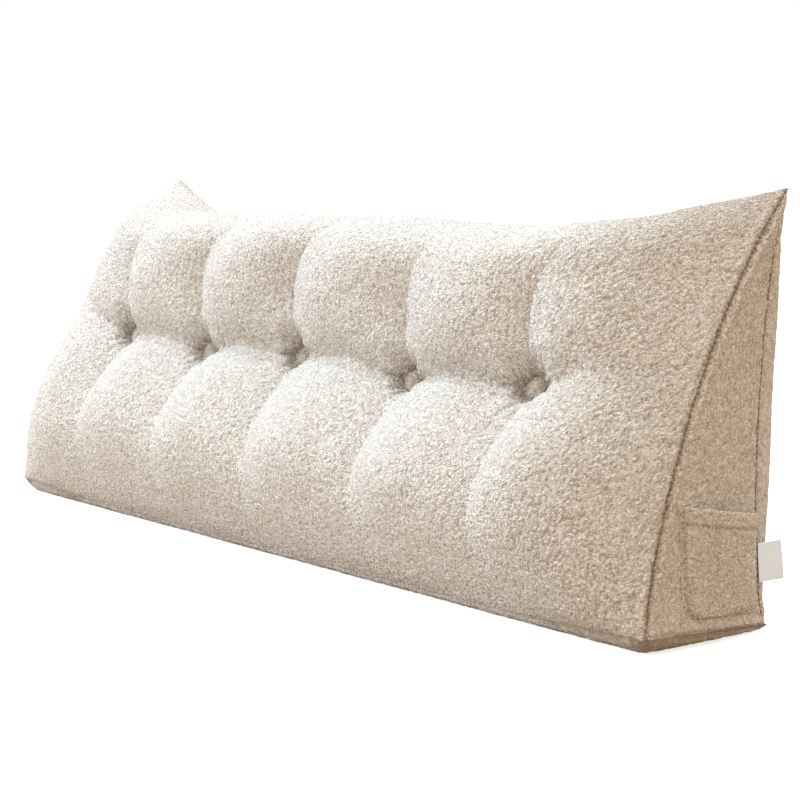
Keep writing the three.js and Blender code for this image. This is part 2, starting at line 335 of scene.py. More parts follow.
def gusset_point(side, share, width):
    """A point of an end gusset, width 0 at its front seam and 1 at its back seam."""
    end = np.full_like(share, float(side))
    front, back = front_at(end, share), back_point(end, share)
    points = mix(front, back, width[..., None])
    points[..., 0] += side * GUSSET_CROWN * hump(width) * np.sqrt(clamp(hump(share)))
    return points


# Numbers of the hash: what scatters the bits of a place, of a seed and of each result, and the largest word
PLACE_FACTORS = (73856093, 19349663, 83492791)
SEED_FACTOR = 2654435761
SEED_START = 101
SCATTER = (0x9E3779B1, 0x85EBCA6B, 0xC2B2AE35)
LARGEST = 0xFFFFFFFF


def hashed(i, j, k, seed):
    """Three even random numbers for each lattice place, the same on every run."""
    h = np.uint32((seed * SEED_FACTOR + SEED_START) & LARGEST)
    for place, factor in zip((i, j, k), PLACE_FACTORS):
        h = h ^ (place.astype(np.uint32) * np.uint32(factor))
    out = []
    for step in SCATTER:
        h = (h ^ (h >> np.uint32(15))) * np.uint32(step)
        h = h ^ (h >> np.uint32(13))
        out.append(h.astype(np.float32) / np.float32(LARGEST))
    return out


CURL_START = 0.15
CURL_JITTER = 0.7
CURL_RADIUS = 0.62
CURL_RADIUS_SPREAD = 0.3
CURL_HEIGHT_SPREAD = 0.3


def curls(points, size, seed):
    """Height from 0 to 1 of round curls of pile about size millimetres apart."""
    scaled = points / size
    cell = np.floor(scaled).astype(np.int64)
    best = np.zeros(len(points), np.float32)
    for di in (-1, 0, 1):
        for dj in (-1, 0, 1):
            for dk in (-1, 0, 1):
                i, j, k = cell[:, 0] + di, cell[:, 1] + dj, cell[:, 2] + dk
                a, b, c = hashed(i, j, k, seed)
                dx = scaled[:, 0] - (i + CURL_START + CURL_JITTER * a)
                dy = scaled[:, 1] - (j + CURL_START + CURL_JITTER * b)
                dz = scaled[:, 2] - (k + CURL_START + CURL_JITTER * c)
                radius = CURL_RADIUS + CURL_RADIUS_SPREAD * ((a + b + c) % 1.0)
                height = 1.0 - (dx * dx + dy * dy + dz * dz) / (radius * radius)
                best = np.maximum(best, height * (1.0 - CURL_HEIGHT_SPREAD + CURL_HEIGHT_SPREAD * c))
    return clamp(best)


def lumps(points, size, seed):
    """Smooth noise from -1 to 1 with features about size millimetres apart."""
    scaled = points / size
    cell = np.floor(scaled).astype(np.int64)
    f = scaled - cell
    f = f * f * f * (f * (f * 6.0 - 15.0) + 10.0)
    total = np.zeros(len(points))
    for di in (0, 1):
        for dj in (0, 1):
            for dk in (0, 1):
                value = hashed(cell[:, 0] + di, cell[:, 1] + dj, cell[:, 2] + dk, seed)[0]
                weight = (
                    (f[:, 0] if di else 1.0 - f[:, 0])
                    * (f[:, 1] if dj else 1.0 - f[:, 1])
                    * (f[:, 2] if dk else 1.0 - f[:, 2])
                )
                total += weight * value
    return 2.0 * total - 1.0


def grid_normals(points, flip=False):
    du = np.gradient(points, axis=0)
    dv = np.gradient(points, axis=1)
    normal = np.cross(du, dv)
    length = np.linalg.norm(normal, axis=-1, keepdims=True)
    normal = normal / np.maximum(length, 1e-9)
    return -normal if flip else normal


def even_stations(sample, count):
    """Places from 0 to 1 that share out the mean length of the sampled lines evenly."""
    steps = np.linalg.norm(np.diff(sample, axis=0), axis=-1)
    mean = steps.mean(axis=1)
    run = np.concatenate([[0.0], np.cumsum(mean)])
    return np.interp(np.linspace(0.0, run[-1], count), run, np.linspace(0.0, 1.0, len(run)))


def linked(name, data):
    """A new object of the scene that holds the data."""
    thing = bpy.data.objects.new(name, data)
    bpy.context.scene.collection.objects.link(thing)
    return thing


def make_piece(name, points, normals, pile, flip=False):
    """A grid of points as a smooth mesh with its own normals and its pile height kept as an attribute."""
    rows, columns = points.shape[:2]
    index = np.arange(rows * columns).reshape(rows, columns)
    a, b, c, d = index[:-1, :-1], index[1:, :-1], index[1:, 1:], index[:-1, 1:]
    order = (a, d, c, b) if flip else (a, b, c, d)
    quads = np.stack([corner.ravel() for corner in order], axis=-1)
    mesh = bpy.data.meshes.new(name)
    mesh.vertices.add(rows * columns)
    mesh.vertices.foreach_set("co", to_row(points).reshape(-1).astype(np.float32))
    mesh.loops.add(quads.size)
    mesh.loops.foreach_set("vertex_index", quads.reshape(-1).astype(np.int32))
    mesh.polygons.add(len(quads))
    mesh.polygons.foreach_set("loop_start", np.arange(0, quads.size, 4, dtype=np.int32))
    mesh.update(calc_edges=True)
    mesh.shade_smooth()
    mesh.normals_split_custom_set_from_vertices(normals.reshape(-1, 3).astype(np.float32))
    attribute = mesh.attributes.new("pile", "FLOAT", "POINT")
    attribute.data.foreach_set("value", pile.reshape(-1).astype(np.float32))
    return linked(name, mesh)


# Teddy pile: the curls that geometry can carry; the finer ones are in the material
PILE_SIZE = 3.7
PILE_HEIGHT = 1.9
PILE_SINK = 0.9
PILE_SHARPNESS = 0.8
SWIRL_SIZE = 8.0
SWIRL = 1.4
LUMP_SIZE = 85.0
LUMP_HEIGHT = 2.2
DENT_SIZE = 30.0
DENT_HEIGHT = 0.8

# Sewing
SEAM_HIDE = 2.2
WELT_OFFSET = 6.5
WELT_WIDTH = 4.0
GROOVE = 3.2
GROOVE_WIDTH = 3.2
BACK_GROOVE = 1.2
STITCH_PITCH = 6.5
STITCH_LENGTH = 4.6
STITCH_RADIUS = 0.75
STITCH_SWAY = 0.9
STITCH_SINK = 0.9
SEAM_SHADE = 1.0
SEAM_SHADE_WIDTH = 2.4
SEAM_SHADE_RAGGED = 0.3
SEAM_SHADE_PITCH = 7.0
SEAM_SHADE_NOISE = {"across": 3.0, "along": 0.9, "apart": 900.0}
PUCKER_PITCH = 19.0
PUCKER_APART = 7.0
PUCKER_REACH = 26.0
PUCKER_RISE = 6.0
SEAM_OUT = {"along": 0.87, "across": 0.45, "up": 0.1}

# Seeds of the noise, by what it shapes
SEED = {
    "pile": 1, "swirl": 20, "lump": 3, "dent": 4, "seam_shade": 5, "fold": 40, "pucker": 61, "stitch": 91,
    "back_panel": 71, "base_panel": 73, "end_right": 81, "end_left": 83, "pocket": 5, "button": 7,
}


def runs(points, axis):
    """Length along the surface from the first and from the last row of the grid."""
    steps = np.linalg.norm(np.diff(points, axis=axis), axis=-1)
    total = np.cumsum(steps, axis=axis)
    pad = [(0, 0), (0, 0)]
    pad[axis] = (1, 0)
    first = np.pad(total, pad)
    last = np.take(total, [-1], axis=axis) - first
    return first, last


def seam_outward(side, y):
    """The way out between two panels at an end seam, front (y below 0) or back."""
    way = np.array([side * SEAM_OUT["along"], SEAM_OUT["across"] * y, SEAM_OUT["up"] if y < 0 else 0.0])
    return way / np.linalg.norm(way)


def seam_ground_and_shade(off, seed):
    """How far the pile's colour gives way to a darker one beside a seam: partly the cloth's darker ground
    showing, partly painted shade of the seam's groove.
    """
    flat = off.ravel()
    across = flat * SEAM_SHADE_NOISE["across"] + SEAM_SHADE_NOISE["apart"] * seed
    along = np.arange(off.size) * SEAM_SHADE_NOISE["along"]
    ragged = lumps(np.stack([across, along, 0.0 * flat], axis=1), SEAM_SHADE_PITCH, seed).reshape(off.shape)
    return gauss(off, SEAM_SHADE_WIDTH * (1.0 + SEAM_SHADE_RAGGED * ragged))


def add_pile(points, normals, hide, seed=SEED["pile"]):
    """Raises the curls of the teddy pile out of the cloth; hide is 0 on a seam line and 1 off it."""
    flat = points.reshape(-1, 3)
    swirl = np.stack([lumps(flat, SWIRL_SIZE, seed + SEED["swirl"] + axis) for axis in range(3)], axis=-1)
    pile = curls(flat + SWIRL * swirl, PILE_SIZE, seed).reshape(points.shape[:2])
    height = (PILE_HEIGHT * pile ** PILE_SHARPNESS - PILE_SINK) * hide
    return points + normals * height[..., None], pile


def puckers(along, off, seed):
    """Short folds that run off a seam, along it at distance off."""
    line = np.stack([along, 0.0 * along, 0.0 * along + PUCKER_APART * seed], axis=-1).reshape(-1, 3)
    folds = lumps(line, PUCKER_PITCH / 2.0, seed).reshape(along.shape)
    return folds * np.exp(-off / PUCKER_REACH) * smooth(off / PUCKER_RISE)


# Front panel, one grid split into four pieces along the crease and the middle furrow
ROWS_LOWER = 175
ROWS_UPPER = 175
COLUMNS = 860
SAMPLES_ALONG = 601
SAMPLES_UP = 121
RELAX_PASSES = 3
RELAX_WIDTH = 1.2
CREASE_SOFTNESS = 15.0
CREASE_SOFT_REACH = 42.0
BUTTON_HOLD = 30.0
END_SOFTNESS = 48.0
END_SOFT_REACH = 95.0
END_SOFT_START = 8.0
END_SOFT_RUN = 115.0
FOLD_COUNT = 9
FOLD_HEIGHT = 1.7
FOLD_START = 17.0
FOLD_REACH = 34.0
FOLD_RISE = 9.0
FOLD_NOISE = 26.0
FOLD_WANDER = 2.2
FRONT_PUCKER = 1.2
LEFT_PUCKER = 0.5
FRONT_WELT = 1.2
UNEVEN_FROM_SEAM = 30.0
BUTTON_CLEAR = 16.0

# Painted shade in the deep places: the fleece's colour is darkened round the buttons and along the crease
# near them
BUTTON_SHADE = 0.7
BUTTON_SHADE_START = 14.0
BUTTON_SHADE_REACH = 12.0
CREASE_SHADE = 0.5
CREASE_SHADE_WIDTH = 11.0
CREASE_SHADE_REACH = 62.0

sample_u, sample_t = grid(np.linspace(-1.0, 1.0, SAMPLES_ALONG), np.linspace(0.0, 1.0, SAMPLES_UP))
lower_sample = front_point(sample_u, np.zeros_like(sample_u, bool), sample_t)
upper_sample = front_point(sample_u, np.ones_like(sample_u, bool), sample_t)
stations = even_stations(np.concatenate([lower_sample, upper_sample], axis=1), COLUMNS)
front_u = 2.0 * stations - 1.0
lower_t = even_stations(lower_sample.transpose(1, 0, 2), ROWS_LOWER)
upper_t = even_stations(upper_sample.transpose(1, 0, 2), ROWS_UPPER)
front_t = np.concatenate([lower_t, upper_t[1:]])
front_is_upper = np.concatenate([np.zeros(ROWS_LOWER, bool), np.ones(ROWS_UPPER - 1, bool)])
grid_u, grid_t = grid(front_u, front_t)
grid_upper = np.broadcast_to(front_is_upper, grid_u.shape)
front = front_point(grid_u, grid_upper, grid_t)

# The crease between the two rows is a rounded valley, tight only at the buttons
button_u = TUFT_X / half_length(CREASE_SHARE)
button_at = front_point(button_u, np.ones_like(button_u, bool), np.zeros_like(button_u))
off_button = np.stack([np.linalg.norm(front - place, axis=-1) for place in button_at])
near_button = off_button.min(axis=0)
from_foot = runs(front, 1)[0]
off_crease = np.abs(from_foot - from_foot[:, ROWS_LOWER - 1:ROWS_LOWER])
soft = gauss(off_crease, CREASE_SOFT_REACH) * smooth((near_button - BUTTON_CLEAR) / BUTTON_HOLD)
spacing = from_foot[:, -1].mean() / (len(front_t) - 1)


def relax(points, softness):
    """The points smoothed up and down the panel over about softness millimetres."""
    width = int(round(softness * RELAX_WIDTH / spacing)) // 2 * 2 + 1
    margin = width // 2
    out = points
    for _ in range(RELAX_PASSES):
        padded = np.pad(out, ((0, 0), (margin + 1, margin), (0, 0)), mode="edge")
        total = np.cumsum(padded, axis=1)
        out = (total[:, width:] - total[:, :-width]) / width
    return out


end_fade = smooth((past_tufts(front[..., 0]) - END_SOFT_START) / END_SOFT_RUN)
end_soft = end_fade * gauss(off_crease, END_SOFT_REACH)
front = mix(front, relax(front, END_SOFTNESS), end_soft[..., None])
front = mix(front, relax(front, CREASE_SOFTNESS), (soft * (1.0 - end_soft))[..., None])
front_normals = grid_normals(front)

# Soft unevenness of the filling, folds round the buttons, puckers along the end seams
from_left, from_right = runs(front, 0)
off_end = np.minimum(from_left, from_right)
from_foot, from_top = runs(front, 1)
off_seam = np.minimum(off_end, np.minimum(from_foot, from_top))
flat_front = front.reshape(-1, 3)
uneven = LUMP_HEIGHT * lumps(flat_front, LUMP_SIZE, SEED["lump"])
uneven = uneven + DENT_HEIGHT * lumps(flat_front, DENT_SIZE, SEED["dent"])
rise = uneven.reshape(grid_u.shape) * smooth(off_seam / UNEVEN_FROM_SEAM)
for index, place in enumerate(button_at):
    offset = front - place
    angle = np.arctan2(offset[..., 2], offset[..., 0])
    turn_noise = lumps(flat_front, FOLD_NOISE, SEED["fold"] + index).reshape(grid_u.shape)
    folds = np.sin(FOLD_COUNT * angle + FOLD_WANDER * turn_noise + index)
    past = off_button[index] - FOLD_START
    rise = rise + FOLD_HEIGHT * folds * smooth(past / FOLD_RISE) * gauss(past, FOLD_REACH)
pucker = FRONT_PUCKER * puckers(from_foot, off_end, SEED["pucker"])
rise = rise + pucker * np.where(grid_u > 0, 1.0, LEFT_PUCKER)
rise = rise + FRONT_WELT * gauss(off_end - WELT_OFFSET, WELT_WIDTH)
front = front + front_normals * rise[..., None]
for side, off_side in ((-1.0, from_left), (1.0, from_right)):
    front = front - GROOVE * gauss(off_side, GROOVE_WIDTH)[..., None] * seam_outward(side, -1.0)
front_normals = grid_normals(front)
front, front_pile = add_pile(front, front_normals, smooth(off_seam / SEAM_HIDE))
# painted shade of the end seams' grooves, with the cloth's darker ground showing there
front_pile = front_pile - SEAM_SHADE * seam_ground_and_shade(off_end, SEED["seam_shade"])
# painted shade round the buttons and along the crease near them
button_painted_shade = gauss(np.maximum(near_button - BUTTON_SHADE_START, 0.0), BUTTON_SHADE_REACH)
crease_painted_shade = gauss(off_crease, CREASE_SHADE_WIDTH) * gauss(near_button, CREASE_SHADE_REACH)
front_pile = front_pile - BUTTON_SHADE * button_painted_shade
front_pile = front_pile - CREASE_SHADE * crease_painted_shade
front[..., 2] = np.maximum(front[..., 2], FLOOR_CLEAR)
front_normals = grid_normals(front)

middle_tuft = TUFT_X[len(TUFT_X) // 2]
middle_column = int(np.argmin(np.abs(front[:, ROWS_LOWER, 0] - middle_tuft)))
pieces = {}
for name, columns, rows in (
    ("front_lower_left", slice(0, middle_column + 1), slice(0, ROWS_LOWER)),
    ("front_lower_right", slice(middle_column, COLUMNS), slice(0, ROWS_LOWER)),
    ("front_upper_left", slice(0, middle_column + 1), slice(ROWS_LOWER - 1, None)),
    ("front_upper_right", slice(middle_column, COLUMNS), slice(ROWS_LOWER - 1, None)),
):
    pieces[name] = make_piece(
        name, front[columns, rows], front_normals[columns, rows], front_pile[columns, rows]
    )


PANEL_LUMP = 0.6
PAINTED_END_SHADE_REACH = 26.0
CLOSER_ACROSS = 0.75
CLOSER_UP = 0.6


def dressed(name, points, flip, welts, pucker, grooves, plain=(), painted_end_shade=0.0):
    """A panel of fleece: welts, grooves and puckers beside its seams, then its pile, on a grid of points.

    Each groove is an edge, its way out and its depth; plain edges get no welt, and painted_end_shade is
    painted shade that darkens both ends.
    """
    seed = SEED[name]
    normals = grid_normals(points, flip)
    first_u, last_u = runs(points, 0)
    first_v, last_v = runs(points, 1)
    off = np.minimum(np.minimum(first_u, last_u), np.minimum(first_v, last_v))
    flat = points.reshape(-1, 3)
    soft = lumps(flat, LUMP_SIZE, seed).reshape(off.shape)
    rise = LUMP_HEIGHT * PANEL_LUMP * soft * smooth(off / UNEVEN_FROM_SEAM)
    edges = {"first_u": first_u, "last_u": last_u, "first_v": first_v, "last_v": last_v}
    welted = np.min([run for edge, run in edges.items() if edge not in plain], axis=0)
    rise = rise + welts * gauss(welted - WELT_OFFSET, WELT_WIDTH) * smooth(off / WELT_OFFSET)
    rise = rise + pucker * puckers(first_u + first_v, off, seed)
    points = points + normals * rise[..., None]
    for edge, outward, depth in grooves:
        points = points - depth * gauss(edges[edge], GROOVE_WIDTH)[..., None] * outward
    normals = grid_normals(points, flip)
    points, pile = add_pile(points, normals, smooth(off / SEAM_HIDE))
    # painted shade: the colour darkens towards both ends
    pile = pile - painted_end_shade * gauss(np.minimum(first_u, last_u), PAINTED_END_SHADE_REACH)
    # painted shade beside the grooved seams, with the cloth's darker ground showing there
    if grooves:
        pile = pile - SEAM_SHADE * seam_ground_and_shade(np.min([edges[edge] for edge, _, _ in grooves], axis=0), seed)
    points[..., 2] = np.maximum(points[..., 2], FLOOR_CLEAR)
    return make_piece(name, points, grid_normals(points, flip), pile, flip)


def close_at_ends(count, closeness):
    """Stations from 0 to 1 that stand closer together near both ends."""
    even = np.linspace(0.0, 1.0, count)
    return mix(even, 0.5 - 0.5 * np.cos(np.pi * even), closeness)


def panel_grid(place, columns, rows):
    """A grid of the panel that place makes, closer at its seams."""
    u, share = grid(2.0 * close_at_ends(columns, CLOSER_ACROSS) - 1.0, close_at_ends(rows, CLOSER_UP))
    return place(u, share)


BACK_SEAMS = (
    ("first_u", seam_outward(-1.0, 1.0), BACK_GROOVE),
    ("last_u", seam_outward(1.0, 1.0), BACK_GROOVE),
)
pieces["back_panel"] = dressed(
    "back_panel", panel_grid(back_point, columns=480, rows=150),
    flip=True, welts=1.0, pucker=1.6, grooves=BACK_SEAMS,
)
pieces["base_panel"] = dressed(
    "base_panel", panel_grid(base_point, columns=320, rows=50),
    flip=True, welts=0.0, pucker=0.4, grooves=(), painted_end_shade=1.7,
)

# Ends, each a gusset with a raised welt inside its seams
END_ROWS = 230
END_COLUMNS = 100
END_WELT = 3.4
END_PUCKER = 1.2
END_CLOSER_UP = 0.3
END_CLOSER_ACROSS = 0.6
for name, side in (("end_right", 1), ("end_left", -1)):
    share, width = grid(close_at_ends(END_ROWS, END_CLOSER_UP), close_at_ends(END_COLUMNS, END_CLOSER_ACROSS))
    end_seams = (
        ("first_v", seam_outward(side, -1.0), GROOVE),
        ("last_v", seam_outward(side, 1.0), BACK_GROOVE),
    )
    pieces[name] = dressed(
        name, gusset_point(side, share, width),
        flip=side > 0, welts=END_WELT, pucker=END_PUCKER, grooves=end_seams, plain=("last_v",),
    )

# Patch pocket, one closed sheet: its outer face runs over the hem and back down inside
POCKET_ROWS = 96
POCKET_COLUMNS = 120
HEM_RISE = 0.86
HEM_SWELL = 1.6
POCKET_STITCH = 4.5
POCKET_DENT = 1.8
POCKET_DENT_WIDTH = 1.8
POCKET_OFF = 0.5
POCKET_SEAM_HIDE = 2.5
HEM_RUN = 0.04
HEM_DENT = 0.8
HEM_LINE_SCALE = 125.0
HEM_EDGE = 5.0
POCKET_SHADE = {"stitch": 0.4, "stitch_width": 1.6, "edge": 0.3, "edge_width": 1.5, "hem": 0.25}
POCKET_INNER_PILE = 0.3
ROLL_STEPS = 5
POCKET_INSET = 4.0
POCKET_EDGE = 8.0
POCKET_EDGE_POWER = 0.6


def pocket_face(rise, across):
    """A point of the pocket's inner face, rise 0 at its foot and 1 at its mouth."""
    share = mix(POCKET["bottom"], POCKET["top"], rise)
    end = np.ones_like(share)
    front_edge, back_edge = front_at(end, share), back_point(end, share)
    corner = 1.0 - np.sqrt(1.0 - clamp(1.0 - rise / POCKET["corner"]) ** 2)
    first = POCKET["front"] + POCKET["corner_run"] * corner
    last = np.minimum(mix(POCKET["back_bottom"], POCKET["back_top"], rise), back_edge[..., 1] - POCKET_INSET)
    y = mix(first, last, across)
    width = (y - front_edge[..., 1]) / (back_edge[..., 1] - front_edge[..., 1])
    points = gusset_point(1, share, width)
    opened = POCKET["depth"] * np.sin(np.pi / 2.0 * rise) ** POCKET["mouth_power"]
    points[..., 0] += POCKET_OFF + opened * clamp(hump(across)) ** POCKET["belly_power"]
    return points


def rolled_over(outer, inner):
    """Rows of points that turn over the hem, from the top of the outer face to the top of the inner one."""
    middle, half = 0.5 * (outer + inner), 0.5 * (outer - inner)
    lift = np.linalg.norm(half, axis=-1, keepdims=True) * np.array([0.0, 0.0, 1.0])
    turns = [np.pi * step / ROLL_STEPS for step in range(1, ROLL_STEPS)]
    return np.stack([middle + half * math.cos(turned) + lift * math.sin(turned) for turned in turns])


rise, across = grid(np.linspace(0.0, 1.0, POCKET_ROWS), np.linspace(0.0, 1.0, POCKET_COLUMNS))
inner_face = pocket_face(rise, across)
side_run = runs(inner_face, 1)
foot_run = runs(inner_face, 0)[0]
off_edge = np.minimum(np.minimum(*side_run), foot_run)
off_stitch = off_edge - POCKET_STITCH
in_hem = smooth(off_edge / HEM_EDGE)
on_hem_line = gauss((rise - HEM_RISE) * HEM_LINE_SCALE, POCKET_DENT_WIDTH)
thickness = CLOTH * smooth(off_edge / POCKET_EDGE) ** POCKET_EDGE_POWER
thickness = thickness - POCKET_DENT * gauss(off_stitch, POCKET_DENT_WIDTH)
hem = HEM_SWELL * smooth((rise - HEM_RISE) / HEM_RUN) - POCKET_DENT * HEM_DENT * on_hem_line
outward = grid_normals(inner_face, True)
outer_face = inner_face + outward * (thickness + hem * in_hem)[..., None]
outer_face, outer_pile = add_pile(outer_face, outward, smooth(off_edge / POCKET_SEAM_HIDE), SEED["pocket"])
outer_pile = outer_pile - POCKET_SHADE["stitch"] * gauss(off_stitch, POCKET_SHADE["stitch_width"])
outer_pile = outer_pile - POCKET_SHADE["edge"] * gauss(off_edge, POCKET_SHADE["edge_width"])
outer_pile = outer_pile - POCKET_SHADE["hem"] * on_hem_line * in_hem
over = rolled_over(outer_face[-1], inner_face[-1])
over_pile = np.tile(outer_pile[-1], (len(over), 1))
inner_pile = np.full_like(outer_pile, POCKET_INNER_PILE)
wrapped = np.concatenate([outer_face, over, inner_face[::-1]])
wrapped_pile = np.concatenate([outer_pile, over_pile, inner_pile])
pieces["pocket"] = make_piece("pocket", wrapped, grid_normals(wrapped, True), wrapped_pile, True)

# Covered buttons
BUTTON_RINGS = 26
BUTTON_SPOKES = 64
BUTTON_SUNK = 3.0
BUTTON_PILE = 0.5
BUTTON_NEAR_ACROSS = 0.01
BUTTON_NEAR_UP = 0.03
DOME_SPREAD = 0.6
DOME_DEPTH = 2.0
BUTTON_PROFILE = np.array([
    [0.88, -0.25], [0.97, 0.1], [1.0, 0.4], [0.95, 0.66],
    [0.8, 0.86], [0.55, 0.97], [0.28, 1.0], [0.0, 1.0],
])


def button_piece(name, index):
    """A dome of fleece in its seat, square to the front around it."""
    u = button_u[index]
    at = button_at[index]
    beside = np.array([u - BUTTON_NEAR_ACROSS, u + BUTTON_NEAR_ACROSS])
    level = front_point(beside, np.array([True, True]), np.array([0.0, 0.0]))
    upper = front_point(np.array([u]), np.array([True]), np.array([BUTTON_NEAR_UP]))[0]
    lower = front_point(np.array([u]), np.array([False]), np.array([1.0 - BUTTON_NEAR_UP]))[0]
    side = level[1] - level[0]
    side /= np.linalg.norm(side)
    out = np.cross(side, upper - lower)
    out /= np.linalg.norm(out)
    top = np.cross(out, side)
    steps = range(len(BUTTON_PROFILE))
    place = np.linspace(0.0, len(BUTTON_PROFILE) - 1.0, BUTTON_RINGS)
    reach = np.interp(place, steps, BUTTON_PROFILE[:, 0]) * BUTTON_RADIUS
    height = np.interp(place, steps, BUTTON_PROFILE[:, 1]) * BUTTON_HEIGHT - BUTTON_SUNK
    angle = np.linspace(0.0, 2.0 * np.pi, BUTTON_SPOKES + 1)
    ring = np.cos(angle)[:, None] * side + np.sin(angle)[:, None] * top
    points = at + reach[None, :, None] * ring[:, None, :] + height[None, :, None] * out
    spokes = reach[None, :, None] * ring[:, None, :] * DOME_SPREAD
    spokes = spokes + (height - DOME_DEPTH)[None, :, None] * out
    normals = spokes / np.maximum(np.linalg.norm(spokes, axis=-1, keepdims=True), 1e-6)
    points, pile = add_pile(points, normals, np.full(points.shape[:2], BUTTON_PILE), SEED["button"] + index)
    return make_piece(name, points, normals, pile)


for index in range(len(TUFT_X)):
    name = f"covered_button_{index + 1}"
    pieces[name] = button_piece(name, index)


# Thread of the seams
THREAD_SIDES = 6
STITCH_PLACES = np.array([0.0, 0.25, 0.5, 0.75, 1.0])
STITCH_LIFT = np.array([-0.5, 0.25, 0.5, 0.25, -0.5])
STITCH_GIRTH = np.array([0.35, 0.95, 1.0, 0.95, 0.35])
SWAY_PITCH = 4.0


def stitch_faces(first):
    """The faces of one stitch whose vertices start at first: its wall, then its two ends."""
    sides, last = THREAD_SIDES, first + (len(STITCH_PLACES) - 1) * THREAD_SIDES
    faces = []
    for ring in range(first, last, sides):
        for k in range(sides):
            a, b = ring + k, ring + (k + 1) % sides
            faces.append((a, b, b + sides, a + sides))
    faces.append(tuple(first + k for k in reversed(range(sides))))
    faces.append(tuple(last + k for k in range(sides)))
    return faces


def thread(name, lines):
    """Short stitches laid along lines of points, each line with its outward directions and its thickness."""
    angle = np.linspace(0.0, 2.0 * np.pi, THREAD_SIDES, endpoint=False)
    verts, faces = [], []
    for points, outward, thick in lines:
        run = np.concatenate([[0.0], np.cumsum(np.linalg.norm(np.diff(points, axis=0), axis=1))])
        starts = np.arange(STITCH_PITCH * 0.5, run[-1] - STITCH_LENGTH, STITCH_PITCH)
        line = np.stack([starts, 0.0 * starts, 0.0 * starts], axis=1)
        sway = STITCH_SWAY * lumps(line, SWAY_PITCH, SEED["stitch"])
        for start, aside in zip(starts, sway):
            places = start + STITCH_LENGTH * STITCH_PLACES
            centre = np.stack([np.interp(places, run, points[:, axis]) for axis in range(3)], axis=1)
            out = np.array([np.interp(start, run, outward[:, axis]) for axis in range(3)])
            out /= np.linalg.norm(out)
            along = centre[-1] - centre[0]
            along /= np.linalg.norm(along)
            across = np.cross(along, out)
            sink = STITCH_SINK * abs(aside) / STITCH_SWAY
            lift = STITCH_LIFT * thick - sink
            centre = centre + out * lift[:, None] + across * aside
            faces += stitch_faces(len(verts))
            for middle, radius in zip(centre, thick * STITCH_GIRTH):
                for a in angle:
                    verts.append(middle + radius * (math.cos(a) * across + math.sin(a) * out))
    mesh = bpy.data.meshes.new(name)
    mesh.from_pydata(to_row(np.array(verts)).tolist(), [], faces)
    mesh.update()
    mesh.shade_smooth()
    return linked(name, mesh)


BACK_THREAD = 0.8
POCKET_THREAD = 0.45
THREAD_STANDS = 1.2
THREAD_FROM = 0.02
THREAD_TO = 0.985
THREAD_POINTS = 160
CORNER_THREAD = 0.6
FOOT_THREAD_IN = 6
THREAD_MARGIN = 2
share_line = np.linspace(THREAD_FROM, THREAD_TO, THREAD_POINTS)
seam_lines = []
for side in (-1.0, 1.0):
    end = np.full_like(share_line, side)
    for line, way, groove, thick in (
        (front_at(end, share_line), seam_outward(side, -1.0), GROOVE, STITCH_RADIUS),
        (back_point(end, share_line), seam_outward(side, 1.0), BACK_GROOVE, STITCH_RADIUS * BACK_THREAD),
    ):
        sunk = line - (groove - THREAD_STANDS * thick) * way
        seam_lines.append((sunk, np.tile(way, (len(share_line), 1)), thick))
stitch_row = int(np.argmin(np.abs(foot_run[:, POCKET_COLUMNS // 2] - POCKET_STITCH)))
hem_row = int(round(HEM_RISE * (POCKET_ROWS - 1)))
left_column = int(np.argmin(np.abs(side_run[0][POCKET_ROWS // 2] - POCKET_STITCH)))
corner_row = int(POCKET["corner"] * CORNER_THREAD * POCKET_ROWS)
last_column = POCKET_COLUMNS - THREAD_MARGIN
for row, columns in (
    (np.arange(corner_row, POCKET_ROWS - THREAD_MARGIN), left_column),
    (stitch_row, np.arange(left_column + FOOT_THREAD_IN, last_column)),
    (hem_row, np.arange(left_column, last_column)),
):
    seam_lines.append((outer_face[row, columns], outward[row, columns], STITCH_RADIUS * POCKET_THREAD))
pieces["seam_thread"] = thread("seam_thread", seam_lines)

# Sewn-in label
LABEL_ROWS = 30
LABEL_COLUMNS = 26
LABEL_WAVE = {"height": 1.1, "length": 3.0, "start": 1.0, "power": 1.5}
LABEL_OFF = 0.9
LABEL_THICKNESS = 0.5


def label_piece():
    """A folded tape that stands out of the back seam of the right end, with a slight wave."""
    climb, out = grid(np.linspace(0.0, 1.0, LABEL_ROWS), np.linspace(0.0, 1.0, LABEL_COLUMNS))
    share = mix(LABEL["bottom"], LABEL["top"], climb)
    seam = back_point(np.ones_like(share), share)
    wave = LABEL_WAVE["height"] * np.sin(LABEL_WAVE["length"] * climb + LABEL_WAVE["start"])
    wave = wave * out ** LABEL_WAVE["power"]
    face = np.stack([
        seam[..., 0] + GAP + LABEL_OFF + LABEL["curl"] * out ** 2 + wave,
        seam[..., 1] + LABEL["long"] * out,
        seam[..., 2],
    ], axis=-1)
    outer = face + np.array([LABEL_THICKNESS, 0.0, 0.0])
    wrapped = np.concatenate([outer, face[::-1]])
    return make_piece("label", wrapped, grid_normals(wrapped, True), np.ones(wrapped.shape[:2]), True)


pieces["label"] = label_piece()


